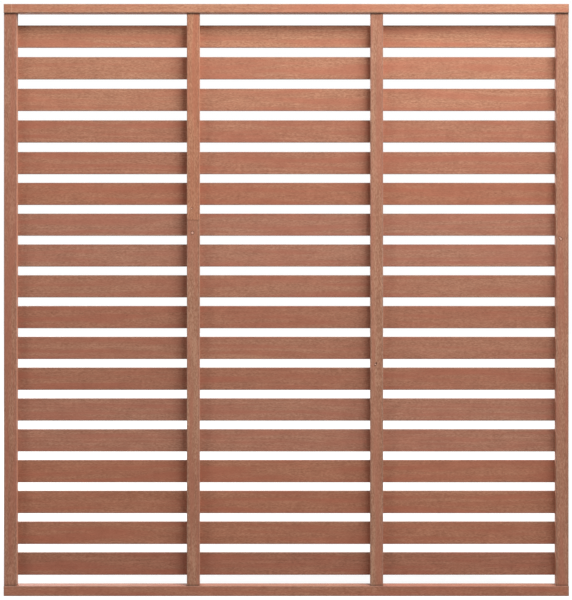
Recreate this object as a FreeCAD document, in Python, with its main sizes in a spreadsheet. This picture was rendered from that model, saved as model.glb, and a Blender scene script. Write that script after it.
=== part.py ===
"""Garden privacy screen: a framed hardwood panel of horizontal slats.

Two full-width rails stand proud of four uprights (stiles) that butt between them. Eighteen slats lie behind
the stiles, flush with the backs of the rails. Brads driven from behind pin each slat to each stile, two at
every crossing, and a countersunk screw goes through the rail into the end grain of each stile end.

Frame: X runs across the panel with +X on the viewer's right, -Y is the front, +Z is up. The origin is the
middle of the bottom rail's underside, so the panel stands on Z = 0.
"""

import FreeCAD, Part
import os
import sys

import Sketcher

# Driving dimensions in millimetres, and one angle in degrees.
SIZES = {
    "panel_width": 1718,
    "panel_height": 1800,
    "top_rail_height": 27,
    "bottom_rail_height": 30,
    "rail_proud": 4,
    "rail_edge_radius": 1.5,
    "stile_face": 38.5,
    "stile_depth": 31,
    "stile_edge_radius": 1.5,
    "left_bay": 518,
    "right_bay": 526,
    "slat_height": 68,
    "slat_thickness": 10,
    "slat_edge_chamfer": 0.8,
    "slat_end_inset": 2,
    "top_gap": 34.2,
    "upper_gap": 28.8,
    "bottom_gap": 27.7,
    "brad_width": 2,
    "brad_thickness": 1.6,
    "brad_length": 35,
    "brad_point": 3,
    "brad_sink": 0.6,
    "brad_clearance": 0.05,
    "brad_edge_distance": 17,
    "brad_stagger": 12,
    "screw_diameter": 5,
    "screw_head_diameter": 9.6,
    "screw_head_angle": 90,
    "screw_length": 75,
    "screw_point": 5,
    "screw_tip_diameter": 1,
    "screw_sink": 0.6,
    "screw_clearance": 0.1,
    "drive_width": 3.2,
    "drive_depth": 2.4,
}

SLAT_COUNT = 18
UPPER_GAP_COUNT = 4
LOWER_GAP_COUNT = SLAT_COUNT - 1 - UPPER_GAP_COUNT

doc = FreeCAD.newDocument("garden_privacy_screen")
sheet = doc.addObject("Spreadsheet::Sheet", "Sizes")
for row, (alias, value) in enumerate(SIZES.items(), start=1):
    sheet.set(f"A{row}", alias)
    sheet.set(f"B{row}", str(value))
    sheet.setAlias(f"B{row}", alias)
doc.recompute()

# Lengths that follow from the driving dimensions, written as expressions on the sheet.
RAIL_DEPTH = "(Sizes.rail_proud + Sizes.stile_depth + Sizes.slat_thickness)"
FRONT = f"(-{RAIL_DEPTH} / 2)"
STILE_FRONT = f"({FRONT} + Sizes.rail_proud)"
SLAT_FRONT = f"({STILE_FRONT} + Sizes.stile_depth)"
HALF_WIDTH = "(Sizes.panel_width / 2)"
STILE_LENGTH = "(Sizes.panel_height - Sizes.top_rail_height - Sizes.bottom_rail_height)"
SLAT_LENGTH = "(Sizes.panel_width - 2 * Sizes.slat_end_inset)"
TOP_RAIL_UNDERSIDE = "(Sizes.panel_height - Sizes.top_rail_height)"

# What the named gaps and the slats leave of the height between the rails is shared by the lower gaps.
SLATS_AND_NAMED_GAPS = (
    f"({SLAT_COUNT} * Sizes.slat_height + Sizes.top_gap + Sizes.bottom_gap"
    f" + {UPPER_GAP_COUNT} * Sizes.upper_gap)"
)
LOWER_GAP = f"(({STILE_LENGTH} - {SLATS_AND_NAMED_GAPS}) / {LOWER_GAP_COUNT})"
LOWER_PITCH = f"(Sizes.slat_height + {LOWER_GAP})"
UPPER_PITCH = "(Sizes.slat_height + Sizes.upper_gap)"

# The slats in two rows: a name, the lowest slat's height over the bottom rail, the pitch and the count.
FIRST_UPPER = f"(Sizes.bottom_gap + {LOWER_GAP_COUNT} * {LOWER_PITCH} + {UPPER_PITCH})"
SLAT_ROWS = (
    ("lower", "Sizes.bottom_gap", LOWER_PITCH, LOWER_GAP_COUNT + 1),
    ("upper", FIRST_UPPER, UPPER_PITCH, UPPER_GAP_COUNT),
)

# The left edge of each stile, and the name of its node.
STILE_LEFT_EDGES = {
    "left": f"(-{HALF_WIDTH})",
    "inner_left": f"(-{HALF_WIDTH} + Sizes.stile_face + Sizes.left_bay)",
    "inner_right": f"({HALF_WIDTH} - 2 * Sizes.stile_face - Sizes.right_bay)",
    "right": f"({HALF_WIDTH} - Sizes.stile_face)",
}
STILE_NODES = {
    "left": "left_stile",
    "inner_left": "inner_stile_left",
    "inner_right": "inner_stile_right",
    "right": "right_stile",
}

# Brads, measured from the stile's left edge and from the slat's lower edge. The two of a crossing stand on
# either side of the stile's centre line, so that they don't share a grain line.
BRADS = {
    "lower": ("(Sizes.stile_face / 2 - Sizes.brad_stagger / 2)", "Sizes.brad_edge_distance"),
    "upper": (
        "(Sizes.stile_face / 2 + Sizes.brad_stagger / 2)",
        "(Sizes.slat_height - Sizes.brad_edge_distance)",
    ),
}
BRAD_HOLE_WIDTH = "(Sizes.brad_width + 2 * Sizes.brad_clearance)"
BRAD_HOLE_HEIGHT = "(Sizes.brad_thickness + 2 * Sizes.brad_clearance)"
BRAD_SEAT_DEPTH = (
    "(Sizes.brad_sink + Sizes.brad_length + Sizes.brad_clearance - Sizes.slat_thickness)"
)

# Screws stand in the middle of the stile's end grain, one at each end.
SCREW_X = "(Sizes.stile_face / 2)"
SCREW_Y = "(Sizes.stile_depth / 2)"
SCREW_HOLE = "(Sizes.screw_diameter + 2 * Sizes.screw_clearance)"
HEAD_SLOPE = "tan(Sizes.screw_head_angle * 1 deg / 2)"
HEAD_HEIGHT = f"((Sizes.screw_head_diameter - Sizes.screw_diameter) / 2 / {HEAD_SLOPE})"
SCREW_SEAT = (
    f"(Sizes.screw_head_diameter + 2 * Sizes.screw_clearance + 2 * Sizes.screw_sink * {HEAD_SLOPE})"
)
SHANK_LENGTH = f"(Sizes.screw_length - {HEAD_HEIGHT} - Sizes.screw_point)"

# How the long edges of a board are eased: the feature and the property that holds its size.
ROUNDED = ("PartDesign::Fillet", "Radius")
CHAMFERED = ("PartDesign::Chamfer", "Size")

sub_parts = []


def new_body(name):
    """Start the body of one sub-part."""
    body = doc.addObject("PartDesign::Body", name)
    body.Label = name
    sub_parts.append(body)
    return body


def origin_feature(body, role):
    """One of a body's own origin planes or axes."""
    return next(feature for feature in body.Origin.OriginFeatures if feature.Role == role)


def place(body, x, y, z):
    """Put a body's own origin at three expressions."""
    body.setExpression("Placement.Base.x", x)
    body.setExpression("Placement.Base.y", y)
    body.setExpression("Placement.Base.z", z)


def new_sketch(body, name, plane, offset="0"):
    """Start a sketch on a body's own origin plane, moved along the plane's normal by an expression."""
    sketch = body.newObject("Sketcher::SketchObject", name)
    sketch.AttachmentSupport = (origin_feature(body, plane), [""])
    sketch.MapMode = "FlatFace"
    sketch.setExpression("AttachmentOffset.Base.z", offset)
    return sketch


def bind(sketch, kind, references, expression):
    """Add a dimension to a sketch and bind it to an expression."""
    index = sketch.addConstraint(Sketcher.Constraint(kind, *references, 1))
    sketch.setExpression(f"Constraints[{index}]", expression)


def add_outline(sketch, corners):
    """Draw straight sides between rough corners and close them; returns the first side's number."""
    first = sketch.GeometryCount
    for start, end in zip(corners, corners[1:] + corners[:1]):
        sketch.addGeometry(Part.LineSegment(FreeCAD.Vector(*start), FreeCAD.Vector(*end)))
    for side in range(len(corners)):
        following = first + (side + 1) % len(corners)
        sketch.addConstraint(Sketcher.Constraint("Coincident", first + side, 2, following, 1))
    return first


def add_rectangle(sketch, left, bottom, width, height):
    """Draw a rectangle from its lower left corner, with expressions for its place and size."""
    floor = add_outline(sketch, [(1, 1), (2, 1), (2, 2), (1, 2)])
    right, ceiling, left_side = floor + 1, floor + 2, floor + 3
    for side in (floor, ceiling):
        sketch.addConstraint(Sketcher.Constraint("Horizontal", side))
    for side in (right, left_side):
        sketch.addConstraint(Sketcher.Constraint("Vertical", side))
    bind(sketch, "DistanceX", (-1, 1, floor, 1), left)
    bind(sketch, "DistanceY", (-1, 1, floor, 1), bottom)
    bind(sketch, "DistanceX", (floor, 1, floor, 2), width)
    bind(sketch, "DistanceY", (right, 1, right, 2), height)


def add_circle(sketch, x, y, diameter):
    """Draw a circle, with expressions for its centre and diameter."""
    circle = sketch.addGeometry(Part.Circle(FreeCAD.Vector(1, 1), FreeCAD.Vector(0, 0, 1), 1))
    bind(sketch, "DistanceX", (-1, 1, circle, 3), x)
    bind(sketch, "DistanceY", (-1, 1, circle, 3), y)
    bind(sketch, "Diameter", (circle,), diameter)


def add_pad(body, name, sketch, length, reverse=False, taper=None):
    """Pad a sketch by an expression, and let its sides slope inwards by another."""
    pad = body.newObject("PartDesign::Pad", name)
    pad.Profile = sketch
    pad.Reversed = reverse
    pad.setExpression("Length", length)
    if taper is not None:
        pad.setExpression("TaperAngle", taper)
    return pad


def add_pocket(body, name, sketch, depth, along_normal=False):
    """Pocket a sketch by an expression, against its plane's normal or along it."""
    pocket = body.newObject("PartDesign::Pocket", name)
    pocket.Profile = sketch
    pocket.Reversed = along_normal
    pocket.setExpression("Length", depth)
    return pocket


def add_row(body, name, features, pitch, count):
    """Repeat features upwards at a pitch that is an expression."""
    pattern = body.newObject("PartDesign::LinearPattern", name)
    pattern.Originals = features
    pattern.Direction = (origin_feature(body, "Z_Axis"), [""])
    pattern.Mode = "Spacing"
    pattern.setExpression("Offset", pitch)
    pattern.Occurrences = count
    body.Tip = pattern
    return pattern


def add_board(body, plane, thickness, height, length, easing, easing_size):
    """Pad a board's section from its corner and ease the long edges."""
    section = new_sketch(body, "section", plane)
    add_rectangle(section, "0", "0", thickness, height)
    board = add_pad(body, "board", section, length)
    doc.recompute()
    grain = section.getGlobalPlacement().Rotation.multVec(FreeCAD.Vector(0, 0, 1))
    long_edges = [
        f"Edge{number}"
        for number, edge in enumerate(board.Shape.Edges, start=1)
        if abs(edge.tangentAt(edge.FirstParameter).dot(grain)) > 0.99
    ]
    feature, size_property = easing
    eased = body.newObject(feature, "eased_edges")
    eased.Base = (board, long_edges)
    eased.setExpression(size_property, easing_size)


def screw_places():
    """The X of every screw in one rail, from the rail's left end."""
    return [f"({edge} + {SCREW_X} + {HALF_WIDTH})" for edge in STILE_LEFT_EDGES.values()]


def build_rail(name, height, underside, heads_up):
    """One full-width rail, with countersunk screw holes over the stiles."""
    rail = new_body(name)
    place(rail, f"-{HALF_WIDTH}", FRONT, underside)
    add_board(
        rail, "YZ_Plane", RAIL_DEPTH, height, "Sizes.panel_width", ROUNDED, "Sizes.rail_edge_radius"
    )
    face = height if heads_up else "0"
    centres = new_sketch(rail, "screw_centres", "XY_Plane", face)
    for x in screw_places():
        add_circle(centres, x, f"Sizes.rail_proud + {SCREW_Y}", SCREW_HOLE)
    doc.recompute()
    holes = rail.newObject("PartDesign::Hole", "screw_holes")
    holes.Profile = centres
    holes.ThreadType = "None"
    holes.DepthType = "ThroughAll"
    holes.Reversed = not heads_up
    holes.HoleCutType = "Countersink"
    holes.HoleCutCustomValues = True
    holes.setExpression("Diameter", SCREW_HOLE)
    holes.setExpression("HoleCutDiameter", SCREW_SEAT)
    holes.setExpression("HoleCutCountersinkAngle", "Sizes.screw_head_angle * 1 deg")


def build_stile(key):
    """One stile, with brad seats in its back and screw holes in both ends."""
    stile = new_body(STILE_NODES[key])
    place(stile, STILE_LEFT_EDGES[key], STILE_FRONT, "Sizes.bottom_rail_height")
    add_board(
        stile,
        "XY_Plane",
        "Sizes.stile_face",
        "Sizes.stile_depth",
        STILE_LENGTH,
        ROUNDED,
        "Sizes.stile_edge_radius",
    )
    for row_name, start, pitch, count in SLAT_ROWS:
        seats = new_sketch(stile, f"{row_name}_brad_seats", "XZ_Plane", "-Sizes.stile_depth")
        for x, z in BRADS.values():
            left = f"{x} - {BRAD_HOLE_WIDTH} / 2"
            bottom = f"{start} + {z} - {BRAD_HOLE_HEIGHT} / 2"
            add_rectangle(seats, left, bottom, BRAD_HOLE_WIDTH, BRAD_HOLE_HEIGHT)
        cut = add_pocket(stile, f"{row_name}_brad_cut", seats, BRAD_SEAT_DEPTH, along_normal=True)
        add_row(stile, f"{row_name}_brad_row", [cut], pitch, count)
    for end, face, rail_height in (
        ("foot", "0", "Sizes.bottom_rail_height"),
        ("head", STILE_LENGTH, "Sizes.top_rail_height"),
    ):
        hole = new_sketch(stile, f"{end}_screw_hole", "XY_Plane", face)
        add_circle(hole, SCREW_X, SCREW_Y, SCREW_HOLE)
        depth = f"Sizes.screw_length + Sizes.screw_sink + Sizes.screw_clearance - {rail_height}"
        cut = add_pocket(stile, f"{end}_screw_cut", hole, depth, along_normal=(end == "foot"))
        stile.Tip = cut


def build_slat(number):
    """One slat, counted from the top, with its brad holes."""
    slats_below = SLAT_COUNT - number
    lower_steps = min(slats_below, LOWER_GAP_COUNT)
    upper_steps = slats_below - lower_steps
    height = (
        f"Sizes.bottom_rail_height + Sizes.bottom_gap + {lower_steps} * {LOWER_PITCH}"
        f" + {upper_steps} * {UPPER_PITCH}"
    )
    slat = new_body(f"slat_{number:02d}")
    place(slat, f"-{SLAT_LENGTH} / 2", SLAT_FRONT, height)
    add_board(
        slat,
        "YZ_Plane",
        "Sizes.slat_thickness",
        "Sizes.slat_height",
        SLAT_LENGTH,
        CHAMFERED,
        "Sizes.slat_edge_chamfer",
    )
    holes = new_sketch(slat, "brad_holes", "XZ_Plane")
    for edge in STILE_LEFT_EDGES.values():
        for x, z in BRADS.values():
            left = f"{edge} + {SLAT_LENGTH} / 2 + {x} - {BRAD_HOLE_WIDTH} / 2"
            add_rectangle(holes, left, f"{z} - {BRAD_HOLE_HEIGHT} / 2", BRAD_HOLE_WIDTH, BRAD_HOLE_HEIGHT)
    add_pocket(slat, "brad_cut", holes, "Sizes.slat_thickness")


def add_brad_outline(sketch, centre, head):
    """Draw one brad from above: a straight shank with a chisel point towards the front."""
    top = add_outline(sketch, [(1, 9), (3, 9), (3, 2), (2, 1), (1, 2)])
    right, left = top + 1, top + 4
    tip = (top + 3, 1)
    sketch.addConstraint(Sketcher.Constraint("Horizontal", top))
    for side in (right, left):
        sketch.addConstraint(Sketcher.Constraint("Vertical", side))
    sketch.addConstraint(Sketcher.Constraint("Equal", right, left))
    bind(sketch, "DistanceX", (-1, 1, top, 1), f"{centre} - Sizes.brad_width / 2")
    bind(sketch, "DistanceY", (-1, 1, top, 1), head)
    bind(sketch, "DistanceX", (top, 1, top, 2), "Sizes.brad_width")
    bind(sketch, "DistanceX", (top, 1, *tip), "Sizes.brad_width / 2")
    bind(sketch, "DistanceY", (right, 2, right, 1), "Sizes.brad_length - Sizes.brad_point")
    bind(sketch, "DistanceY", (*tip, right, 2), "Sizes.brad_point")


def build_brads(key):
    """The brads that pin every slat to one stile."""
    brads = new_body(f"slat_brads_{key}")
    place(brads, STILE_LEFT_EDGES[key], STILE_FRONT, "Sizes.bottom_rail_height")
    head = "Sizes.stile_depth + Sizes.slat_thickness - Sizes.brad_sink"
    for row_name, start, pitch, count in SLAT_ROWS:
        pair = []
        for which, (x, z) in BRADS.items():
            underside = f"{start} + {z} - Sizes.brad_thickness / 2"
            outline = new_sketch(brads, f"{row_name}_{which}_outline", "XY_Plane", underside)
            add_brad_outline(outline, x, head)
            pair.append(add_pad(brads, f"{row_name}_{which}_brad", outline, "Sizes.brad_thickness"))
        add_row(brads, f"{row_name}_brads", pair, pitch, count)


def build_screws(name, head_plane, heads_up):
    """The screws of one rail, heads in the rail and points in the stiles."""
    screws = new_body(name)
    place(screws, f"-{HALF_WIDTH}", STILE_FRONT, head_plane)
    towards_point = -1 if heads_up else 1
    point_start = f"{HEAD_HEIGHT} + {SHANK_LENGTH}"
    point_slope = "atan((Sizes.screw_diameter - Sizes.screw_tip_diameter) / 2 / Sizes.screw_point)"
    stages = (
        ("head", "0", "Sizes.screw_head_diameter", HEAD_HEIGHT, "-Sizes.screw_head_angle * 1 deg / 2"),
        ("shank", HEAD_HEIGHT, "Sizes.screw_diameter", SHANK_LENGTH, None),
        ("point", point_start, "Sizes.screw_diameter", "Sizes.screw_point", f"-{point_slope}"),
    )
    for stage, start, diameter, length, taper in stages:
        circles = new_sketch(screws, f"{stage}_circles", "XY_Plane", f"{towards_point} * ({start})")
        for x in screw_places():
            add_circle(circles, x, SCREW_Y, diameter)
        add_pad(screws, stage, circles, length, reverse=heads_up, taper=taper)
    drives = new_sketch(screws, "drive_squares", "XY_Plane")
    for x in screw_places():
        left = f"{x} - Sizes.drive_width / 2"
        front = f"{SCREW_Y} - Sizes.drive_width / 2"
        add_rectangle(drives, left, front, "Sizes.drive_width", "Sizes.drive_width")
    add_pocket(screws, "square_drives", drives, "Sizes.drive_depth", along_normal=not heads_up)


build_rail("top_rail", "Sizes.top_rail_height", TOP_RAIL_UNDERSIDE, heads_up=True)
build_rail("bottom_rail", "Sizes.bottom_rail_height", "0", heads_up=False)
for stile_key in STILE_NODES:
    build_stile(stile_key)
    build_brads(stile_key)
for slat_number in range(1, SLAT_COUNT + 1):
    build_slat(slat_number)
build_screws("top_rail_screws", "Sizes.panel_height - Sizes.screw_sink", heads_up=True)
build_screws("bottom_rail_screws", "Sizes.screw_sink", heads_up=False)
doc.recompute()

failed = [item.Label for item in doc.Objects if {"Invalid", "Error"} & set(item.State)]
failed += [body.Label for body in sub_parts if body.Shape.isNull() or not body.Shape.isValid()]
if failed:
    sys.exit(f"these objects failed: {failed}")
os.makedirs("parts", exist_ok=True)
for body in sub_parts:
    body.Shape.exportStep(os.path.join("parts", f"{body.Label}.step"))
    print(f"{body.Label}: {len(body.Shape.Solids)} solids, {body.Shape.Volume / 1000:.2f} cm3")
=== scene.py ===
"""Finish, studio and camera of the garden privacy screen.

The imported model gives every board, brad and screw its real place, in metres: +X is the viewer's right, -Y
the front and +Z up, with the origin under the middle of the bottom rail. This script dresses those pieces.
The boards get an oiled reddish hardwood, worked out in three dimensions, so that grain runs along each board
and shows as end grain where it is cut. Two boards are finger-jointed, three uprights have small marks on
their fronts, and iron has stained the wood round the brads and screws.
"""

import functools
import logging
import math
import random
from dataclasses import dataclass, field, replace
from enum import Enum

import bmesh
import bpy
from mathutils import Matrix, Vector


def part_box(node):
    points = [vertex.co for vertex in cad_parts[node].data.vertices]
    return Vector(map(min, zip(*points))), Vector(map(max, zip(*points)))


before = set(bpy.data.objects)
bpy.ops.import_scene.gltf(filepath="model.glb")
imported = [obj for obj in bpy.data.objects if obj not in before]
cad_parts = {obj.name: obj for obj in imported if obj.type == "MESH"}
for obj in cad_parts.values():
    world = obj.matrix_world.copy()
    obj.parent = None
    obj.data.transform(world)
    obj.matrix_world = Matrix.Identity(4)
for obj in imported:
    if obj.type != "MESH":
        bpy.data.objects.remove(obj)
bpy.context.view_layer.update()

log = logging.getLogger("privacy_screen")

Paint = tuple[float, float, float]
Value = float | tuple | Vector | bpy.types.NodeSocket

MM = 0.001

# Where a board lies in its tree: how far along at most, the heart's distance in metres, the lean in degrees.
TREE_LENGTH = 40
HEART_DISTANCES = (0.05, 0.12)
MOST_LEAN = 0.8

# The way in metres from a board's own tree to the one that it is joined to.
SECOND_TREE = (3.1, 0.021, 0.034)

# Shares of a board's pale colour in its dark bands and redder patches, and of its light at a greyed edge.
DEEP_SHARE = (0.82, 0.75, 0.715)
FLUSH_SHARE = (0.92, 0.79, 0.78)
GREYED_SHARE = (0.9, 1.02, 1.1)

# What is added to the light of an upright's sides, a painted light, of a cut end, and of an upright's ends
# where they meet the rails, a painted shade, and to the roughness of a cut end.
PAINTED_SIDE_LIGHT = 0.35
CUT_END_SHADE = -0.3
RAIL_END_SHADE = -0.4
CUT_END_ROUGHNESS = 0.2

# An upright's face turns from front to side as the sideways part of its normal rises between these.
SIDEWAYS_SHARES = (0.8, 0.98)

# How strongly glue, a mark's ring and an iron stain cover the wood, how far the stain goes, and how deep the
# ring lies in the wood's relief.
GLUE_COVER = 0.5
RING_COVER = 0.6
STAIN_COVER = 0.55
STAIN_REACH = 4.5 * MM
RING_RELIEF = -1.2

# Colours as a screen shows them.
DARK_GLUE = (96, 54, 40)
PALE_GLUE = (204, 156, 130)
PUTTY = (200, 156, 138)
KNOT_RING = (78, 42, 30)
IRON_STAIN = (62, 46, 42)


def linear(paint: Paint) -> tuple[float, float, float, float]:
    """Turn a colour as a screen shows it into what a shader takes.

    Args:
        paint: red, green and blue, 0 to 255.

    Returns:
        Linear red, green, blue and an alpha of 1.
    """
    shares = [part / 255 for part in paint]
    red, green, blue = [s / 12.92 if s <= 0.04045 else ((s + 0.055) / 1.055) ** 2.4 for s in shares]
    return red, green, blue, 1.0


class Sheet:
    """Short calls that add and join the nodes of one tree."""

    def __init__(self, tree: bpy.types.NodeTree) -> None:
        """Clear the tree.

        Args:
            tree: a material's, a group's or the world's.
        """
        self.tree = tree
        tree.nodes.clear()

    def feed(self, socket: bpy.types.NodeSocket, value: Value) -> None:
        """Join a socket to another one, or set its number.

        Args:
            socket: the input.
            value: an output of another node, or a plain value.
        """
        if isinstance(value, bpy.types.NodeSocket):
            self.tree.links.new(value, socket)
        else:
            socket.default_value = value

    def add(
        self, kind: str, inputs: dict[str | int, Value] | None = None, **settings: object
    ) -> bpy.types.Node:
        """Add a node.

        Args:
            kind: its type, such as ShaderNodeMath.
            inputs: what goes into its sockets, by name or number.
            **settings: its own properties.

        Returns:
            The node.
        """
        node = self.tree.nodes.new(kind)
        for name, value in settings.items():
            setattr(node, name, value)
        for key, value in (inputs or {}).items():
            self.feed(node.inputs[key], value)
        return node

    def math(self, operation: str, *values: Value, clamp: bool = False) -> bpy.types.NodeSocket:
        """Reckon with numbers.

        Args:
            operation: what the Math node does.
            *values: one to three numbers or sockets.
            clamp: keep the result from 0 to 1.

        Returns:
            The result.
        """
        node = self.add("ShaderNodeMath", dict(enumerate(values)), operation=operation, use_clamp=clamp)
        return node.outputs[0]

    def vector(self, operation: str, *values: Value) -> bpy.types.NodeSocket:
        """Reckon with vectors.

        Args:
            operation: what the Vector Math node does.
            *values: one to three vectors or sockets.

        Returns:
            The result, a number for LENGTH and DISTANCE.
        """
        node = self.add("ShaderNodeVectorMath", dict(enumerate(values)), operation=operation)
        return node.outputs["Value" if operation in ("LENGTH", "DISTANCE") else "Vector"]

    def scaled(self, colour: Value, factor: Value) -> bpy.types.NodeSocket:
        """Brighten or darken a colour by a factor."""
        return self.add("ShaderNodeVectorMath", {0: colour, "Scale": factor}, operation="SCALE").outputs[0]

    def around_one(self, noise: Value, spread: float) -> bpy.types.NodeSocket:
        """Turn numbers about 0.5 into a factor about 1."""
        return self.math("MULTIPLY_ADD", noise, spread, 1 - spread / 2)

    def group(self, tree: bpy.types.NodeTree, inputs: dict[str, Value]) -> dict[str, bpy.types.NodeSocket]:
        """Place a shared effect.

        Args:
            tree: the effect's group.
            inputs: a value or a socket for each of its inputs.

        Returns:
            Its outputs by name.
        """
        node = self.add("ShaderNodeGroup", node_tree=tree)
        for name, value in inputs.items():
            self.feed(node.inputs[name], value)
        return {socket.name: socket for socket in node.outputs}

    def parts(self, vector: Value) -> list[bpy.types.NodeSocket]:
        """The X, Y and Z of a vector."""
        return list(self.add("ShaderNodeSeparateXYZ", {0: vector}).outputs)

    def mix(self, factor: Value, first: Value, second: Value) -> bpy.types.NodeSocket:
        """Blend two colours.

        Args:
            factor: 0 for the first, 1 for the second.
            first: a colour.
            second: another.

        Returns:
            The blend.
        """
        node = self.add("ShaderNodeMix", {0: factor, 6: first, 7: second}, data_type="RGBA")
        return node.outputs[2]

    def ease(self, value: Value, start: float, end: float) -> bpy.types.NodeSocket:
        """Rise smoothly from 0 at start to 1 at end, or fall where start is the greater."""
        node = self.add("ShaderNodeMapRange", {0: value, 1: start, 2: end}, interpolation_type="SMOOTHSTEP")
        return node.outputs[0]

    def noise(
        self, place: Value, along: float, across: float, detail: float = 2.0, roughness: float = 0.5
    ) -> bpy.types.NodeSocket:
        """Noise drawn out along the grain.

        Args:
            place: metres, with X along the grain.
            along: features to the metre along the grain.
            across: features to the metre across it.
            detail: how many finer layers are added.
            roughness: how strong those layers are.

        Returns:
            Numbers about 0.5.
        """
        stretched = self.vector("MULTIPLY", place, (along, across, across))
        inputs = {"Vector": stretched, "Scale": 1.0, "Detail": detail, "Roughness": roughness}
        return self.add("ShaderNodeTexNoise", inputs).outputs["Fac"]


class Effect:
    """A shader node group with named inputs and outputs, built once."""

    def __init__(self, name: str, inputs: dict[str, str], outputs: dict[str, str]) -> None:
        """Open the group.

        Args:
            name: the group's name.
            inputs: the kind of each input, Float, Vector or Color, by its name.
            outputs: the kind of each output, by its name.
        """
        self.tree = bpy.data.node_groups.new(name, "ShaderNodeTree")
        for in_out, sockets in (("INPUT", inputs), ("OUTPUT", outputs)):
            for label, kind in sockets.items():
                self.tree.interface.new_socket(label, in_out=in_out, socket_type=f"NodeSocket{kind}")
        self.sheet = Sheet(self.tree)
        self.given = self.sheet.add("NodeGroupInput").outputs

    def close(self, results: dict[str, Value]) -> bpy.types.NodeTree:
        """Join the results to the group's outputs.

        Args:
            results: a socket for each output's name.

        Returns:
            The finished group.
        """
        self.sheet.add("NodeGroupOutput", results)
        return self.tree


@functools.cache
def hardwood_grain() -> bpy.types.NodeTree:
    """Open-pored reddish hardwood in three dimensions.

    Place is in metres, with X along the grain and the heart of the tree on the X axis. Growth bands lie round
    that axis, streaks and fibres run along it, and the flecks and pores are short dashes on a face and dots
    on an end. Figure is how strongly the light and dark wood differ, 1 on a plain board.

    Returns:
        The group, which puts out the wood's colour, roughness and relief.
    """
    sways_to_metre, widest_sway = (2.2, 9.0, 9.0), (0.0, 0.022, 0.022)
    bands_to_metre = 190.0
    band_weight, streak_weight, fleck_weight = 0.16, 0.20, 0.64
    fibre_spread, ribbon_spread, pore_shade, flush_cover = 0.26, 0.22, -0.34, 0.7
    deep_roughness, added_by_pale, added_by_pores = 0.58, -0.09, 0.18
    fibre_relief, streak_relief, pore_relief = 0.45, 0.35, -0.6

    effect = Effect(
        "hardwood_grain",
        {"Place": "Vector", "Figure": "Float", "Pale": "Color", "Deep": "Color", "Flush": "Color"},
        {"Colour": "Color", "Roughness": "Float", "Relief": "Float"},
    )
    sheet, given = effect.sheet, effect.given
    place = given["Place"]

    # The grain sways sideways by some millimetres over half a metre.
    stretched = sheet.vector("MULTIPLY", place, sways_to_metre)
    drifting = {"Vector": stretched, "Scale": 1.0, "Detail": 1.0}
    drift = sheet.add("ShaderNodeTexNoise", drifting).outputs["Color"]
    sway = sheet.vector("MULTIPLY", sheet.vector("SUBTRACT", drift, (0.5, 0.5, 0.5)), widest_sway)
    swayed = sheet.vector("ADD", place, sway)

    radius = sheet.vector("LENGTH", sheet.vector("MULTIPLY", swayed, (0.0, 1.0, 1.0)))
    banding = {"W": radius, "Scale": bands_to_metre, "Detail": 2.0}
    bands = sheet.add("ShaderNodeTexNoise", banding, noise_dimensions="1D").outputs["Fac"]
    streaks = sheet.noise(swayed, along=15.0, across=240.0, detail=3.0, roughness=0.6)
    flecks = sheet.noise(swayed, along=118.0, across=380.0, detail=2.0, roughness=0.55)
    fibres = sheet.noise(swayed, along=48.0, across=1150.0)
    ribbon = sheet.noise(swayed, along=19.0, across=34.0, detail=1.0)
    blush = sheet.noise(swayed, along=3.2, across=62.0)
    pores = sheet.ease(sheet.noise(swayed, along=125.0, across=2300.0, detail=1.0), 0.60, 0.70)

    banded = sheet.math("MULTIPLY_ADD", bands, band_weight, sheet.math("MULTIPLY", streaks, streak_weight))
    banded = sheet.math("MULTIPLY_ADD", flecks, fleck_weight, banded)
    banded = sheet.math("MULTIPLY_ADD", sheet.math("SUBTRACT", banded, 0.5), given["Figure"], 0.5)
    tone = sheet.ease(banded, 0.3, 0.7)
    colour = sheet.mix(tone, given["Deep"], given["Pale"])
    flushed = sheet.math("MULTIPLY", sheet.ease(blush, 0.38, 0.68), flush_cover)
    colour = sheet.mix(flushed, colour, given["Flush"])
    light = sheet.around_one(fibres, fibre_spread)
    light = sheet.math("MULTIPLY", light, sheet.around_one(ribbon, ribbon_spread))
    light = sheet.math("MULTIPLY", light, sheet.math("MULTIPLY_ADD", pores, pore_shade, 1.0))
    colour = sheet.scaled(colour, light)

    roughness = sheet.math("MULTIPLY_ADD", tone, added_by_pale, deep_roughness)
    roughness = sheet.math("MULTIPLY_ADD", pores, added_by_pores, roughness)
    streaked = sheet.math("MULTIPLY", streaks, streak_relief)
    relief = sheet.math("MULTIPLY_ADD", fibres, fibre_relief, streaked)
    relief = sheet.math("MULTIPLY_ADD", pores, pore_relief, relief)
    return effect.close({"Colour": colour, "Roughness": roughness, "Relief": relief})


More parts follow.
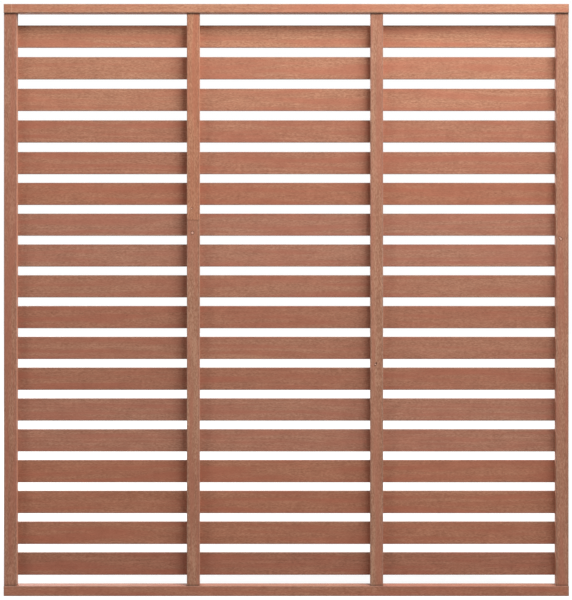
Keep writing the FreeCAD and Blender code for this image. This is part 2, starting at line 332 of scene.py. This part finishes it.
@functools.cache
def board_edges() -> bpy.types.NodeTree:
    """Where a board is rubbed along its edges and cut across the grain, and where an upright's ends meet the
    rails, which get painted shade.

    Place is measured from the board's middle with X along it, and Half is half its size each way.

    Returns:
        The group, which puts out a mask for each of the three.
    """
    rub_reach, rub_fades = 6.0 * MM, (1.2 * MM, -0.8 * MM)
    end_fades = (0.9 * MM, 0.1 * MM)
    rail_end_ragged, rail_end_fades = 5 * MM, (11 * MM, 3 * MM)
    effect = Effect(
        "board_edges",
        {"Place": "Vector", "Half": "Vector"},
        {"Wear": "Float", "End": "Float", "RailEnds": "Float"},
    )
    sheet, given = effect.sheet, effect.given
    inside = sheet.vector("SUBTRACT", given["Half"], sheet.vector("ABSOLUTE", given["Place"]))
    along, deep, tall = sheet.parts(inside)
    nearer, farther = sheet.math("MINIMUM", deep, tall), sheet.math("MAXIMUM", deep, tall)
    arris = sheet.math("MAXIMUM", nearer, sheet.math("MINIMUM", farther, along))
    rubbed = sheet.noise(given["Place"], along=38.0, across=160.0, detail=3.0, roughness=0.65)
    reach = sheet.math("MULTIPLY_ADD", rubbed, -rub_reach, rub_reach)
    wear = sheet.ease(sheet.math("SUBTRACT", arris, reach), *rub_fades)
    # Painted shade at an upright's ends, where it meets the rails, ragged along the grain; at the top it
    # stands for the top rail's shadow.
    drawn_in = sheet.math("MULTIPLY_ADD", rubbed, rail_end_ragged, along)
    return effect.close(
        {
            "Wear": wear,
            "End": sheet.ease(along, *end_fades),
            "RailEnds": sheet.ease(drawn_in, *rail_end_fades),
        }
    )


@functools.cache
def finger_joint() -> bpy.types.NodeTree:
    """A glued finger joint across a board.

    The fingers are cut from front to back, so the joint is a straight line on the front, at At along the
    board, and a zigzag on the sides. Front is the front face's place in the board's depth. Far is 1 past the
    joint, and Glue is 1 on its line.

    Returns:
        The group, which puts out those two masks.
    """
    finger_pitch, finger_length, glue = 4.6 * MM, 11 * MM, 0.28 * MM
    effect = Effect(
        "finger_joint",
        {"Place": "Vector", "At": "Float", "Front": "Float"},
        {"Far": "Float", "Glue": "Float"},
    )
    sheet, given = effect.sheet, effect.given
    along, deep, _ = sheet.parts(given["Place"])
    slope = finger_length / (finger_pitch / 2)
    tooth = sheet.math("PINGPONG", sheet.math("SUBTRACT", deep, given["Front"]), finger_pitch / 2)
    beyond = sheet.math("SUBTRACT", along, given["At"])
    beyond = sheet.math("MULTIPLY_ADD", tooth, -slope, beyond)
    off = sheet.math("DIVIDE", sheet.math("ABSOLUTE", beyond), math.hypot(1, slope))
    return effect.close(
        {"Far": sheet.math("GREATER_THAN", beyond, 0.0), "Glue": sheet.ease(off, 1.5 * glue, 0.5 * glue)}
    )


@functools.cache
def pin_knot() -> bpy.types.NodeTree:
    """A ragged round mark with a ring round it.

    From is the way from its middle, and Radius is the mark's within the ring.

    Returns:
        The group, which puts out a mask for the middle and one for the ring.
    """
    grit_to_metre, raggedness = 420.0, 0.7
    middle_ends, ring_ends = (1.1, 0.9), (2.2, 1.3)
    effect = Effect("pin_knot", {"From": "Vector", "Radius": "Float"}, {"Middle": "Float", "Ring": "Float"})
    sheet, given = effect.sheet, effect.given
    gritty = {"Vector": given["From"], "Scale": grit_to_metre}
    ragged = sheet.add("ShaderNodeTexNoise", gritty).outputs["Fac"]
    span = sheet.math("DIVIDE", sheet.vector("LENGTH", given["From"]), given["Radius"])
    span = sheet.math("MULTIPLY_ADD", sheet.math("SUBTRACT", ragged, 0.5), raggedness, span)
    ring = sheet.math("MULTIPLY", sheet.ease(span, *ring_ends), sheet.ease(span, *reversed(middle_ends)))
    return effect.close({"Middle": sheet.ease(span, *middle_ends), "Ring": ring})


@functools.cache
def iron_stain() -> bpy.types.NodeTree:
    """The blue-black bloom that steel leaves in damp hardwood, with a ragged edge drawn out along the grain.

    Away is the distance to the nearest fastener, and Reach how far the stain goes.

    Returns:
        The group, which puts out the stain's mask.
    """
    raggedness, darkest_share = 5 * MM, 0.15
    effect = Effect("iron_stain", {"Place": "Vector", "Away": "Float", "Reach": "Float"}, {"Stain": "Float"})
    sheet, given = effect.sheet, effect.given
    ragged = sheet.noise(given["Place"], along=120.0, across=420.0, detail=3.0)
    away = sheet.math("MULTIPLY_ADD", sheet.math("SUBTRACT", ragged, 0.5), raggedness, given["Away"])
    share = sheet.math("DIVIDE", away, given["Reach"])
    return effect.close({"Stain": sheet.ease(share, 1.0, darkest_share)})


@functools.cache
def handled_steel() -> bpy.types.NodeTree:
    """Fine scratches and dull patches of a fastener from the box.

    Returns:
        The group, which puts out a number about 0.5 for each of the two.
    """
    effect = Effect("handled_steel", {"Place": "Vector"}, {"Dull": "Float", "Scratch": "Float"})
    sheet, given = effect.sheet, effect.given
    dull = sheet.noise(given["Place"], along=700.0, across=700.0, detail=3.0)
    scratch = sheet.noise(given["Place"], along=900.0, across=5200.0, detail=2.0)
    return effect.close({"Dull": dull, "Scratch": scratch})


class Tone(Enum):
    """The pale wood of the panel's boards, sorted into heaps, as a screen shows it."""

    BRIGHT = (190, 140, 112)
    AMBER = (182, 132, 104)
    HONEY = (183, 134, 108)
    SAND = (176, 133, 109)
    FAWN = (173, 126, 103)
    CEDAR = (176, 126, 102)
    UMBER = (170, 121, 98)
    SORREL = (166, 118, 96)
    DUN = (174, 128, 105)
    TAN = (173, 128, 105)
    ROSE = (175, 129, 107)
    RUSSET = (174, 123, 98)

    def paints(self) -> dict[str, tuple[float, float, float, float]]:
        """Work out the colours of such a board.

        Returns:
            Each colour, under the name that the grain takes it by.
        """
        shares = {"Pale": (1.0, 1.0, 1.0), "Deep": DEEP_SHARE, "Flush": FLUSH_SHARE}
        return {
            name: linear(tuple(part * own for part, own in zip(self.value, share)))
            for name, share in shares.items()
        }


class Grain(Enum):
    """The turn from a board's own space, X along the grain, to the frame, in degrees about Y."""

    LEVEL = 0.0
    UPRIGHT = -90.0


@dataclass(frozen=True)
class Knot:
    """A small round mark on the front of a board, such as a pin knot, with a dark ring round it.

    Attributes:
        across: X in the frame, in metres.
        height: Z in the frame, in metres.
        radius: in metres.
        filled: with pale putty, or else an open hole, painted dark for the shade inside it.
    """

    across: float
    height: float
    radius: float
    filled: bool = True


@dataclass(frozen=True)
class WoodFinish:
    """The finish of one board.

    Attributes:
        node: the board it is for.
        grain: which way the board runs.
        tone: its colours.
        seed: picks the stretch of tree that it is cut from.
        figure: how strongly its light and dark wood differ.
        joined_at: a finger joint's place along the board, from its middle, in metres.
        joined_tone: the colours past that joint.
        glue: the colour of the joint's line.
        knots: the marks on its front.
        heads: the fastener heads that show in it.
        head_radius: of those heads, in metres.
    """

    node: str
    grain: Grain
    tone: Tone
    seed: int
    figure: float = 1.0
    joined_at: float | None = None
    joined_tone: Tone = Tone.CEDAR
    glue: Paint = DARK_GLUE
    knots: tuple[Knot, ...] = ()
    heads: tuple[Vector, ...] = ()
    head_radius: float = 1.0 * MM

    def material(self) -> bpy.types.Material:
        """Build the board's material from the shared effects.

        Returns:
            The material.
        """
        material = bpy.data.materials.new(f"{self.node}_hardwood")
        material.use_nodes = True
        sheet = Sheet(material.node_tree)
        here = sheet.add("ShaderNodeTexCoord").outputs["Object"]
        board = self.board_space(sheet, here)
        colour, roughness, relief = self.wood(sheet, board)
        colour, roughness = self.worn(sheet, board, colour, roughness)
        for knot in self.knots:
            colour, relief = self.knotted(sheet, here, knot, colour, relief)
        if self.heads:
            colour = self.stained(sheet, here, board, colour)
        bump = sheet.add("ShaderNodeBump", {"Strength": 0.4, "Distance": 0.3 * MM, "Height": relief})
        inputs = {
            "Base Color": colour,
            "Roughness": roughness,
            "Specular IOR Level": 0.12,
            "Normal": bump.outputs[0],
        }
        surface = sheet.add("ShaderNodeBsdfPrincipled", inputs)
        sheet.add("ShaderNodeOutputMaterial", {"Surface": surface.outputs[0]})
        return material

    def board_space(self, sheet: Sheet, here: Value) -> bpy.types.NodeSocket:
        """Measure from the board's middle, with X along it.

        Args:
            sheet: the material's nodes.
            here: the place in the frame.

        Returns:
            The place in the board's space.
        """
        low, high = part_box(self.node)
        turn = (0.0, math.radians(self.grain.value), 0.0)
        inputs = {"Vector": here, "Location": (low + high) / 2, "Rotation": turn}
        return sheet.add("ShaderNodeMapping", inputs, vector_type="TEXTURE").outputs[0]

    def wood(self, sheet: Sheet, board: Value) -> list[bpy.types.NodeSocket]:
        """Cut the board from a tree, or from two trees where it is joined.

        Args:
            sheet: the material's nodes.
            board: the place in the board's space.

        Returns:
            Colour, roughness and relief.
        """
        chance = random.Random(self.seed)
        lean = [math.radians(chance.uniform(-MOST_LEAN, MOST_LEAN)) for _ in range(2)]
        turn = (chance.uniform(0, math.tau), *lean)
        heart = (chance.uniform(0, TREE_LENGTH), chance.uniform(*HEART_DISTANCES), 0.0)
        inputs = {"Vector": board, "Rotation": turn, "Location": heart}
        tree = sheet.add("ShaderNodeMapping", inputs).outputs[0]
        paints = self.tone.paints()
        glue = None
        if self.joined_at is not None:
            low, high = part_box(self.node)
            front = (low.y - high.y) / 2
            joint = sheet.group(finger_joint(), {"Place": board, "At": self.joined_at, "Front": front})
            far, glue = joint["Far"], joint["Glue"]
            others = self.joined_tone.paints()
            paints = {name: sheet.mix(far, paint, others[name]) for name, paint in paints.items()}
            tree = sheet.vector("ADD", tree, sheet.scaled(SECOND_TREE, far))
        wood = sheet.group(hardwood_grain(), {"Place": tree, "Figure": self.figure, **paints})
        colour = wood["Colour"]
        if glue is not None:
            colour = sheet.mix(sheet.math("MULTIPLY", glue, GLUE_COVER), colour, linear(self.glue))
        return [colour, wood["Roughness"], wood["Relief"]]

    def worn(self, sheet: Sheet, board: Value, colour: Value, roughness: Value) -> list[bpy.types.NodeSocket]:
        """Grey the edges, as weather does, darken the cut ends, where oil soaks in, and paint shade on an
        upright's ends where they meet the rails, a painted shadow under the top rail.

        An upright's sides get painted light: they are made paler than its front and back, for the light that
        falls on them.

        Args:
            sheet: the material's nodes.
            board: the place in the board's space.
            colour: the wood's colour.
            roughness: its roughness.

        Returns:
            The new colour and roughness.
        """
        low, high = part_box(self.node)
        half = (high - low) / 2
        if self.grain is Grain.UPRIGHT:
            half = half.zyx
        edges = sheet.group(board_edges(), {"Place": board, "Half": half})
        colour = sheet.mix(edges["Wear"], colour, sheet.vector("MULTIPLY", colour, GREYED_SHARE))
        factor = sheet.math("MULTIPLY_ADD", edges["End"], CUT_END_SHADE, 1.0)
        if self.grain is Grain.UPRIGHT:
            # Painted shade on the upright's ends, next to the rails.
            rail_ends = sheet.math("MULTIPLY_ADD", edges["RailEnds"], RAIL_END_SHADE, 1.0)
            factor = sheet.math("MULTIPLY", factor, rail_ends)
            # Painted light: an upright's side faces, found by their normal, are made lighter than its front.
            sideways = sheet.parts(sheet.add("ShaderNodeNewGeometry").outputs["Normal"])[0]
            side = sheet.ease(sheet.math("ABSOLUTE", sideways), *SIDEWAYS_SHARES)
            factor = sheet.math("MULTIPLY", factor, sheet.math("MULTIPLY_ADD", side, PAINTED_SIDE_LIGHT, 1.0))
        colour = sheet.scaled(colour, factor)
        return [colour, sheet.math("MULTIPLY_ADD", edges["End"], CUT_END_ROUGHNESS, roughness)]

    def knotted(
        self, sheet: Sheet, here: Value, knot: Knot, colour: Value, relief: Value
    ) -> list[bpy.types.NodeSocket]:
        """Set a mark in the board's front.

        Args:
            sheet: the material's nodes.
            here: the place in the frame.
            knot: the mark.
            colour: the wood's colour.
            relief: its height.

        Returns:
            The new colour and relief.
        """
        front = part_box(self.node)[0].y
        middle = (knot.across, front, knot.height)
        mark = sheet.group(
            pin_knot(), {"From": sheet.vector("SUBTRACT", here, middle), "Radius": knot.radius}
        )
        colour = sheet.mix(sheet.math("MULTIPLY", mark["Ring"], RING_COVER), colour, linear(KNOT_RING))
        # An open mark's middle is painted dark, as the shade inside a hole.
        colour = sheet.mix(mark["Middle"], colour, linear(PUTTY if knot.filled else KNOT_RING))
        return [colour, sheet.math("MULTIPLY_ADD", mark["Ring"], RING_RELIEF, relief)]

    def stained(self, sheet: Sheet, here: Value, board: Value, colour: Value) -> bpy.types.NodeSocket:
        """Let iron darken the wood round each fastener's head.

        Args:
            sheet: the material's nodes.
            here: the place in the frame.
            board: the place in the board's space.
            colour: the wood's colour.

        Returns:
            The new colour.
        """
        spans = [sheet.vector("DISTANCE", here, head) for head in self.heads]
        nearest = functools.reduce(lambda one, other: sheet.math("MINIMUM", one, other), spans)
        away = sheet.math("SUBTRACT", nearest, self.head_radius)
        stain = sheet.group(iron_stain(), {"Place": board, "Away": away, "Reach": STAIN_REACH})["Stain"]
        return sheet.mix(sheet.math("MULTIPLY", stain, STAIN_COVER), colour, linear(IRON_STAIN))


@dataclass(frozen=True)
class SteelFinish:
    """Plain steel of one kind of fastener.

    Attributes:
        name: what the material is called.
        bright: its colour where it is clean, as a screen shows it.
        dull: where it has tarnished.
        roughness: of the clean metal.
        tarnish_roughness: what tarnish adds to it.
    """

    name: str
    bright: Paint
    dull: Paint
    roughness: float
    tarnish_roughness: float = 0.25

    def material(self) -> bpy.types.Material:
        """Build the steel from the shared effect.

        Returns:
            The material.
        """
        material = bpy.data.materials.new(self.name)
        material.use_nodes = True
        sheet = Sheet(material.node_tree)
        here = sheet.add("ShaderNodeTexCoord").outputs["Object"]
        steel = sheet.group(handled_steel(), {"Place": here})
        tarnish = sheet.ease(steel["Dull"], 0.42, 0.68)
        roughness = sheet.math("MULTIPLY_ADD", tarnish, self.tarnish_roughness, self.roughness)
        scratched = {"Strength": 0.2, "Distance": 0.05 * MM, "Height": steel["Scratch"]}
        bump = sheet.add("ShaderNodeBump", scratched)
        inputs = {
            "Base Color": sheet.mix(tarnish, linear(self.bright), linear(self.dull)),
            "Metallic": 1.0,
            "Roughness": roughness,
            "Normal": bump.outputs[0],
        }
        surface = sheet.add("ShaderNodeBsdfPrincipled", inputs)
        sheet.add("ShaderNodeOutputMaterial", {"Surface": surface.outputs[0]})
        return material


def dress(node: str, material: bpy.types.Material) -> None:
    """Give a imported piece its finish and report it.

    Args:
        node: the piece.
        material: its finish.
    """
    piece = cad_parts[node]
    for slot in piece.material_slots:
        slot.material = material
    low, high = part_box(node)
    log.info("%s: %s, %.0f x %.0f x %.0f mm", node, material.name, *((high - low) / MM))


def solid_boxes(node: str) -> list[tuple[Vector, Vector]]:
    """Lowest and highest corner of each separate solid of a node.

    Args:
        node: a group of fasteners.

    Returns:
        The corners, in metres, in the frame.
    """
    shape = bmesh.new()
    shape.from_mesh(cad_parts[node].data)
    bmesh.ops.remove_doubles(shape, verts=shape.verts, dist=0.001 * MM)
    waiting = set(shape.verts)
    boxes = []
    while waiting:
        edge_of_search = [waiting.pop()]
        found = []
        while edge_of_search:
            corner = edge_of_search.pop()
            found.append(corner.co.copy())
            near = {edge.other_vert(corner) for edge in corner.link_edges} & waiting
            waiting -= near
            edge_of_search += near
        boxes.append((Vector(map(min, *found)), Vector(map(max, *found))))
    shape.free()
    return boxes


@dataclass
class Rails:
    """The two full-width rails, with the screw heads that show in them."""

    tones: dict[str, Tone] = field(
        default_factory=lambda: {
            "top_rail": Tone.BRIGHT,
            "bottom_rail": Tone.CEDAR,
        }
    )
    left_joint: float = -835 * MM
    head_radius: float = 4.8 * MM

    def heads(self, node: str) -> tuple[Vector, ...]:
        """Find the screw heads in a rail's outer face.

        Args:
            node: the rail.

        Returns:
            The middle of each head.
        """
        outward = max if node == "top_rail" else min
        middles = []
        for low, high in solid_boxes(f"{node}_screws"):
            centre = (low + high) / 2
            middles.append(Vector((centre.x, centre.y, outward(low.z, high.z))))
        return tuple(middles)

    def build(self) -> None:
        """Dress both rails. The top one has a short redder end, joined on."""
        for number, (node, tone) in enumerate(self.tones.items()):
            finish = WoodFinish(
                node,
                Grain.LEVEL,
                tone,
                seed=200 + number,
                heads=self.heads(node),
                head_radius=self.head_radius,
            )
            if node == "top_rail":
                finish = replace(
                    finish, tone=Tone.AMBER, joined_at=self.left_joint, joined_tone=tone, glue=PALE_GLUE
                )
            dress(node, finish.material())


@dataclass
class Uprights:
    """The four uprights between the rails."""

    tones: dict[str, Tone] = field(
        default_factory=lambda: {
            "left_stile": Tone.DUN,
            "inner_stile_left": Tone.SAND,
            "inner_stile_right": Tone.SAND,
            "right_stile": Tone.TAN,
        }
    )
    figure: float = 1.5
    joint_height: float = 1143 * MM
    upper_tone: Tone = Tone.AMBER
    knots: dict[str, tuple[Knot, ...]] = field(
        default_factory=lambda: {
            "inner_stile_left": (
                Knot(-285.5 * MM, 1104 * MM, 3.4 * MM),
                Knot(-288 * MM, 1178 * MM, 2.0 * MM),
            ),
            # The inner right upright's mark is a small hole: the dark spots beside it are painted shade
            # inside it, and its pale middle is putty and partly a painted highlight on its lit side.
            "inner_stile_right": (
                Knot(274 * MM, 707.5 * MM, 1.8 * MM, filled=False),
                Knot(270 * MM, 700 * MM, 1.3 * MM, filled=False),
                Knot(271 * MM, 704 * MM, 2.2 * MM),
            ),
            "right_stile": (
                Knot(832.4 * MM, 1088.5 * MM, 2.9 * MM),
                Knot(835.2 * MM, 1085.5 * MM, 2.9 * MM),
            ),
        }
    )

    def build(self) -> None:
        """Dress the uprights. The one left of the middle has a brighter length joined on above."""
        for number, (node, tone) in enumerate(self.tones.items()):
            knots = self.knots.get(node, ())
            finish = WoodFinish(
                node, Grain.UPRIGHT, tone, seed=300 + number, figure=self.figure, knots=knots
            )
            if node == "inner_stile_left":
                low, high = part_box(node)
                place = self.joint_height - (low.z + high.z) / 2
                finish = replace(finish, joined_at=place, joined_tone=self.upper_tone)
            dress(node, finish.material())


@dataclass
class SlatField:
    """The slats, counted from the top, with the brad heads that show in their backs."""

    tones: tuple[Tone, ...] = (
        Tone.BRIGHT,
        Tone.HONEY,
        Tone.HONEY,
        Tone.CEDAR,
        Tone.CEDAR,
        Tone.RUSSET,
        Tone.ROSE,
        Tone.ROSE,
        Tone.FAWN,
        Tone.UMBER,
        Tone.FAWN,
        Tone.UMBER,
        Tone.ROSE,
        Tone.ROSE,
        Tone.RUSSET,
        Tone.RUSSET,
        Tone.RUSSET,
        Tone.SORREL,
    )
    brad_rows: tuple[str, ...] = (
        "slat_brads_left",
        "slat_brads_inner_left",
        "slat_brads_inner_right",
        "slat_brads_right",
    )

    def heads(self) -> list[Vector]:
        """Find the heads of the brads.

        Returns:
            The middle of each head.
        """
        middles = []
        for row in self.brad_rows:
            for low, high in solid_boxes(row):
                centre = (low + high) / 2
                middles.append(Vector((centre.x, high.y, centre.z)))
        return middles

    def build(self) -> None:
        """Dress every slat."""
        heads = self.heads()
        for number, tone in enumerate(self.tones, start=1):
            node = f"slat_{number:02d}"
            low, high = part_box(node)
            own = tuple(head for head in heads if low.z < head.z < high.z)
            finish = WoodFinish(node, Grain.LEVEL, tone, seed=number, heads=own)
            dress(node, finish.material())


@dataclass
class Fasteners:
    """Brads and screws."""

    brad_steel: SteelFinish = SteelFinish("bright_brad_steel", (196, 192, 184), (128, 120, 112), 0.34)
    screw_steel: SteelFinish = SteelFinish("plated_screw_steel", (214, 208, 192), (158, 148, 128), 0.28)

    def build(self) -> None:
        """Dress the brads and the screws."""
        brads, screws = self.brad_steel.material(), self.screw_steel.material()
        for node in sorted(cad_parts):
            if "brads" in node:
                dress(node, brads)
            elif "screws" in node:
                dress(node, screws)


@dataclass(frozen=True)
class Softbox:
    """A soft lamp that faces the panel.

    Attributes:
        name: what it is called.
        place: its middle, in metres.
        size: its width and height, in metres.
        power: in watts.
        tint: the light's red, green and blue, 0 to 1.
    """

    name: str
    place: tuple[float, float, float]
    size: tuple[float, float]
    power: float
    tint: tuple[float, float, float] = (1.0, 1.0, 1.0)

    def hang(self, aim: tuple[float, float, float]) -> None:
        """Hang the lamp in the scene.

        Args:
            aim: the place that it faces.
        """
        lamp = bpy.data.lights.new(self.name, "AREA")
        lamp.shape = "RECTANGLE"
        lamp.size, lamp.size_y = self.size
        lamp.energy = self.power
        lamp.color = self.tint
        holder = bpy.data.objects.new(self.name, lamp)
        holder.location = self.place
        holder.rotation_euler = (Vector(aim) - Vector(self.place)).to_track_quat("-Z", "Y").to_euler()
        bpy.context.scene.collection.objects.link(holder)
        log.info("%s: %.0f W, %.1f m up", self.name, self.power, self.place[2])


@dataclass
class Studio:
    """A pale floor, white surroundings and softboxes: the key hangs high in front, to the right.

    The two at the sides keep the uprights' sides light and shade the slats softly beside them, and the last
    lights the back. The floor lies a little under the panel, and its glow rises to full between floor_fades.
    """

    floor_radius: float = 14.0
    floor_drop: float = 0.1 * MM
    floor_paint: Paint = (140, 140, 140)
    floor_glow: float = 0.8
    floor_fades: tuple[float, float] = (1.5, 4.0)
    surroundings: float = 0.12
    aim: tuple[float, float, float] = (0.0, 0.0, 0.9)
    lamps: tuple[Softbox, ...] = (
        Softbox("key_lamp", (1.35, -1.85, 4.75), (1.9, 1.5), 315.0),
        Softbox("left_lamp", (-6.8, -5.4, 2.0), (3.5, 3.0), 215.0, (1.0, 0.9, 0.86)),
        Softbox("right_lamp", (5.2, -1.6, 2.2), (2.4, 2.6), 90.0),
        Softbox("back_lamp", (-2.6, 4.2, 2.6), (3.0, 2.5), 230.0),
    )

    def seen(self, sheet: Sheet) -> bpy.types.NodeSocket:
        """Tell what is looked at from what only lights the panel.

        Args:
            sheet: the nodes of the floor or the world.

        Returns:
            1 where the camera, a reflection or glass looks, and 0 for light that falls on the panel.
        """
        path = sheet.add("ShaderNodeLightPath").outputs
        rays = sheet.math("ADD", path["Is Camera Ray"], path["Is Glossy Ray"])
        return sheet.math("ADD", rays, path["Is Transmission Ray"], clamp=True)

    def build_floor(self) -> None:
        """Lay a round floor that looks white and keeps the panel's shadow."""
        shape = bmesh.new()
        bmesh.ops.create_circle(shape, cap_ends=True, segments=96, radius=self.floor_radius)
        bmesh.ops.translate(shape, verts=shape.verts, vec=(0, 0, -self.floor_drop))
        mesh = bpy.data.meshes.new("floor")
        shape.to_mesh(mesh)
        shape.free()
        floor = bpy.data.objects.new("floor", mesh)
        bpy.context.scene.collection.objects.link(floor)
        material = bpy.data.materials.new("pale_floor")
        material.use_nodes = True
        sheet = Sheet(material.node_tree)
        away = sheet.vector("LENGTH", sheet.add("ShaderNodeTexCoord").outputs["Object"])
        glow = sheet.math(
            "MULTIPLY_ADD", sheet.ease(away, *self.floor_fades), 1 - self.floor_glow, self.floor_glow
        )
        inputs = {
            "Base Color": linear(self.floor_paint),
            "Roughness": 0.9,
            "Specular IOR Level": 0.1,
            "Emission Color": (1.0, 1.0, 1.0, 1.0),
            "Emission Strength": sheet.math("MULTIPLY", self.seen(sheet), glow),
        }
        surface = sheet.add("ShaderNodeBsdfPrincipled", inputs)
        sheet.add("ShaderNodeOutputMaterial", {"Surface": surface.outputs[0]})
        mesh.materials.append(material)

    def build_surroundings(self) -> None:
        """Surround the panel with white that lights it only softly."""
        world = bpy.data.worlds.new("white_studio")
        world.use_nodes = True
        sheet = Sheet(world.node_tree)
        strength = sheet.math("MULTIPLY_ADD", self.seen(sheet), 1 - self.surroundings, self.surroundings)
        light = sheet.add("ShaderNodeBackground", {"Color": (1.0, 1.0, 1.0, 1.0), "Strength": strength})
        sheet.add("ShaderNodeOutputWorld", {"Surface": light.outputs[0]})
        bpy.context.scene.world = world

    def build(self) -> None:
        """Build the floor, the surroundings and the lamps."""
        self.build_floor()
        self.build_surroundings()
        for lamp in self.lamps:
            lamp.hang(self.aim)


@dataclass
class PhotoCamera:
    """The photograph's view: level and square to the front, from 5.3 m away.

    Shifts are shares of the picture's longer side.
    """

    distance: float = 5.2725
    eye_height: float = 1.1
    lens: float = 103.65
    sensor: float = 36.0
    shift_right: float = -0.0005
    shift_up: float = -0.1097

    def build(self) -> None:
        """Set up the camera."""
        camera = bpy.data.cameras.new("photo_camera")
        camera.lens = self.lens
        camera.sensor_width = self.sensor
        camera.shift_x = self.shift_right
        camera.shift_y = self.shift_up
        holder = bpy.data.objects.new("photo_camera", camera)
        holder.location = (0.0, -self.distance, self.eye_height)
        holder.rotation_euler = (math.radians(90), 0.0, 0.0)
        bpy.context.scene.collection.objects.link(holder)
        bpy.context.scene.camera = holder
        log.info("camera: %.2f m away, %.2f m up, %.1f mm lens", self.distance, self.eye_height, self.lens)


def main() -> None:
    """Dress the panel, set up the studio and the camera, and note the sizes."""
    logging.basicConfig(level=logging.INFO, format="%(message)s")
    PhotoCamera().build()
    Rails().build()
    Uprights().build()
    SlatField().build()
    Fasteners().build()
    Studio().build()
    bpy.context.scene.view_settings.view_transform = "Standard"


if __name__ == "__main__":
    main()
